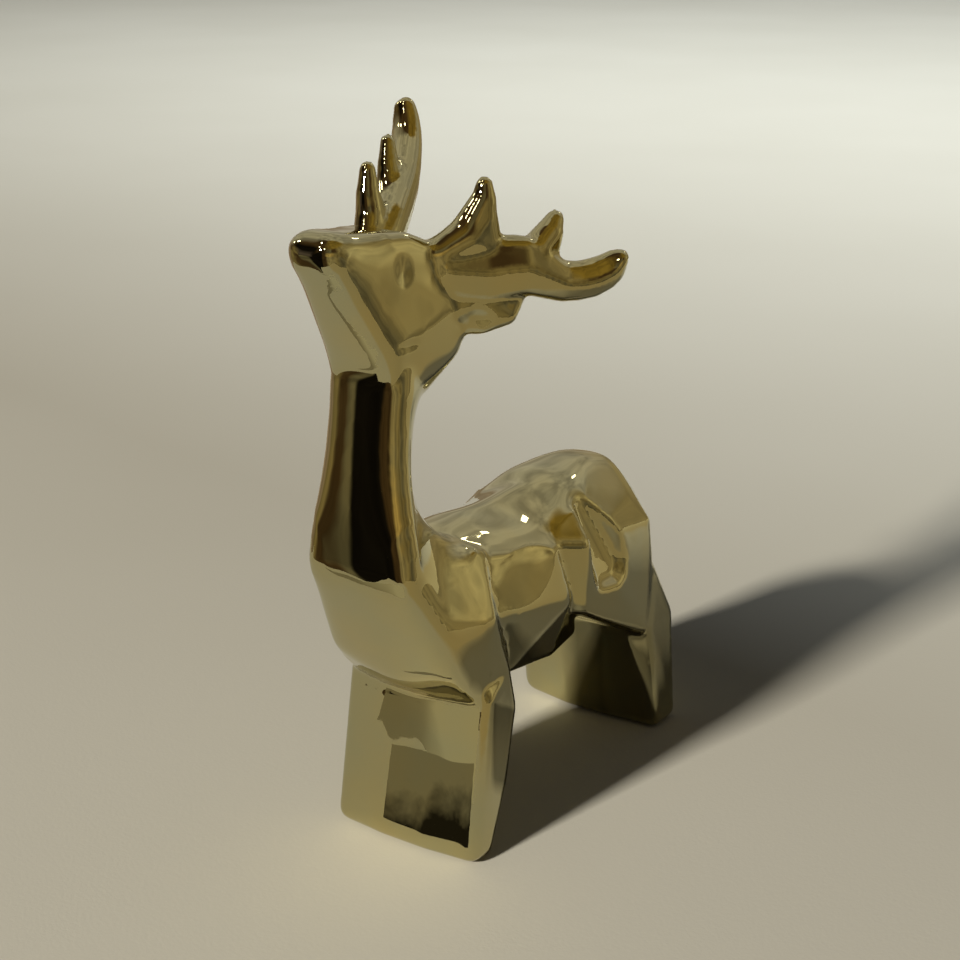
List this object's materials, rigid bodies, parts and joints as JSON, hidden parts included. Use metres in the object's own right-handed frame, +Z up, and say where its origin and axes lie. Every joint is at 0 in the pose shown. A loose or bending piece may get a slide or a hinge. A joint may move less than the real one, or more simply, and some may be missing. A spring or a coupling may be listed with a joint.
{
  "type": "deer figurine",
  "caption": "Standing deer figurine with a raised head, three-point antlers and slab legs, in mirror-bright champagne gold plating",
  "frame": {"origin": "middle of the figure's box, at the soles of the two leg slabs", "axes": "+Z up, the animal looks along -Y, its left side is +X"},
  "size_m": [0.0772, 0.1696, 0.2245],
  "materials": {
    "plated_gold": "mirror-bright champagne gold plating over a smooth glazed casting"
  },
  "bodies": {
    "root": {"deer_figurine": "plated_gold"}
  },
  "joints": []
}
